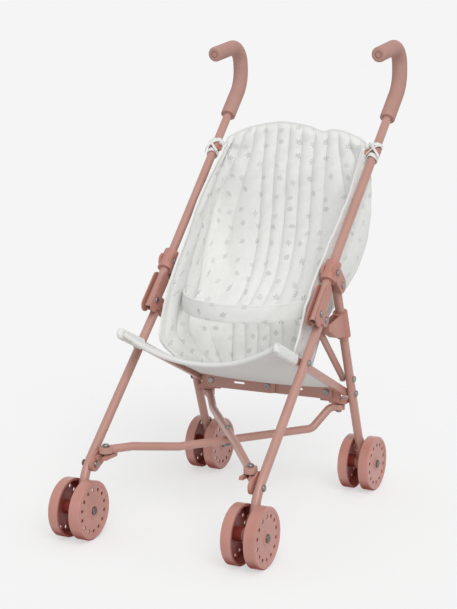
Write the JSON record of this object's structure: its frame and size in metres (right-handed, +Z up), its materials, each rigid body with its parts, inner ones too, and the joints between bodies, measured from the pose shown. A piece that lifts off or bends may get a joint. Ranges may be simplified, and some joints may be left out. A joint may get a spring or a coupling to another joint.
{
  "type": "doll stroller",
  "caption": "Toy umbrella stroller for a doll: rose tube frame with cane handles, twin wheels on each leg, crossed folding tubes and a quilted fabric bucket seat.",
  "frame": {"origin": "on the floor, midway between the side frames and near the middle of the wheelbase", "axes": "+X to the right as seen from the front, +Y to the rear, +Z up"},
  "size_m": [0.2646, 0.4752, 0.5688],
  "materials": {
    "frame_paint": "satin",
    "moulded_joint": "satin",
    "grip": "soft satin",
    "wheel": "semi gloss",
    "rivet_steel": "polished",
    "seat_fabric": "printed cotton"
  },
  "bodies": {
    "left_frame": {"push_tube_left": "frame_paint", "grip_left": "grip", "front_leg_left": "frame_paint", "rear_leg_left": "frame_paint", "front_hub_block_left": "moulded_joint", "rear_hub_block_left": "moulded_joint", "joint_bracket_left": "frame_paint", "clamp_left": "moulded_joint", "seat_rail_left": "frame_paint", "strut_left": "frame_paint", "rear_bracket_left": "moulded_joint", "front_bracket_left": "moulded_joint", "seat_tie_left": "seat_fabric", "seat_hanger_left": "moulded_joint", "side_rivets_left": "rivet_steel", "cross_rear_pin_left": "rivet_steel", "spreader_pin_left": "rivet_steel", "seat_base": "seat_fabric", "seat_back": "seat_fabric", "lap_belt": "seat_fabric"},
    "right_frame": {"push_tube_right": "frame_paint", "grip_right": "grip", "front_leg_right": "frame_paint", "rear_leg_right": "frame_paint", "front_hub_block_right": "moulded_joint", "rear_hub_block_right": "moulded_joint", "joint_bracket_right": "frame_paint", "clamp_right": "moulded_joint", "seat_rail_right": "frame_paint", "strut_right": "frame_paint", "rear_bracket_right": "moulded_joint", "front_bracket_right": "moulded_joint", "seat_tie_right": "seat_fabric", "seat_hanger_right": "moulded_joint", "side_rivets_right": "rivet_steel", "cross_rear_pin_right": "rivet_steel", "spreader_pin_right": "rivet_steel"},
    "upper_cross": {"cross_tube_upper": "frame_paint", "cross_middle_pin": "rivet_steel", "cross_front_pin_right": "rivet_steel"},
    "lower_cross": {"cross_tube_lower": "frame_paint", "cross_front_pin_left": "rivet_steel"},
    "left_spreader": {"spreader_bar_left": "frame_paint", "spreader_rivet": "rivet_steel"},
    "right_spreader": {"spreader_bar_right": "frame_paint"},
    "left_latch": {"latch_left": "moulded_joint"},
    "right_latch": {"latch_right": "moulded_joint"},
    "front_left_wheels": {"front_wheel_outer_left": "wheel", "front_wheel_inner_left": "wheel", "front_axle_left": "rivet_steel"},
    "front_right_wheels": {"front_wheel_outer_right": "wheel", "front_wheel_inner_right": "wheel", "front_axle_right": "rivet_steel"},
    "rear_left_wheels": {"rear_wheel_outer_left": "wheel", "rear_wheel_inner_left": "wheel", "rear_axle_left": "rivet_steel"},
    "rear_right_wheels": {"rear_wheel_outer_right": "wheel", "rear_wheel_inner_right": "wheel", "rear_axle_right": "rivet_steel"}
  },
  "joints": [
    {"name": "fold", "type": "hinge", "parent": "left_frame", "child": "upper_cross", "pos_m": [-0.092, 0.078, 0.114], "axis": [0, 0, -1], "range_deg": [0, 22], "deforming": ["seat_base", "seat_back", "lap_belt"]},
    {"name": "cross_pivot", "type": "hinge", "parent": "upper_cross", "child": "lower_cross", "pos_m": [0, -0.04996, 0.095], "axis": [0, 0, 1], "range_deg": [0, 44]},
    {"name": "right_frame_pivot", "type": "hinge", "parent": "lower_cross", "child": "right_frame", "pos_m": [0.092, 0.078, 0.114], "axis": [0, 0, -1], "range_deg": [0, 22]},
    {"name": "left_spreader_pivot", "type": "hinge", "parent": "left_frame", "child": "left_spreader", "pos_m": [-0.08, 0.0634, 0.134], "axis": [0, -1, 0], "range_deg": [0, 71.51]},
    {"name": "right_spreader_pivot", "type": "hinge", "parent": "right_frame", "child": "right_spreader", "pos_m": [0.08, 0.0665, 0.134], "axis": [0, 1, 0], "range_deg": [0, 71.51]},
    {"name": "left_latch_slide", "type": "slide", "parent": "left_frame", "child": "left_latch", "axis": [0, 0.3635, -0.9316], "range_m": [0, 0.01]},
    {"name": "right_latch_slide", "type": "slide", "parent": "right_frame", "child": "right_latch", "axis": [0, 0.3635, -0.9316], "range_m": [0, 0.01]},
    {"name": "front_left_wheel_spin", "type": "hinge", "parent": "left_frame", "child": "front_left_wheels", "pos_m": [-0.11, -0.214, 0.0345], "axis": [1, 0, 0], "continuous": true},
    {"name": "front_right_wheel_spin", "type": "hinge", "parent": "right_frame", "child": "front_right_wheels", "pos_m": [0.11, -0.214, 0.0345], "axis": [1, 0, 0], "continuous": true},
    {"name": "rear_left_wheel_spin", "type": "hinge", "parent": "left_frame", "child": "rear_left_wheels", "pos_m": [-0.11, 0.116, 0.0345], "axis": [1, 0, 0], "continuous": true},
    {"name": "rear_right_wheel_spin", "type": "hinge", "parent": "right_frame", "child": "rear_right_wheels", "pos_m": [0.11, 0.116, 0.0345], "axis": [1, 0, 0], "continuous": true}
  ],
  "couplings": [
    {"joint": "cross_pivot", "follows": "fold", "ratio": 2},
    {"joint": "right_frame_pivot", "follows": "fold", "ratio": 1},
    {"joint": "left_spreader_pivot", "follows": "fold", "ratio": 3.2506},
    {"joint": "right_spreader_pivot", "follows": "fold", "ratio": 3.2506}
  ]
}
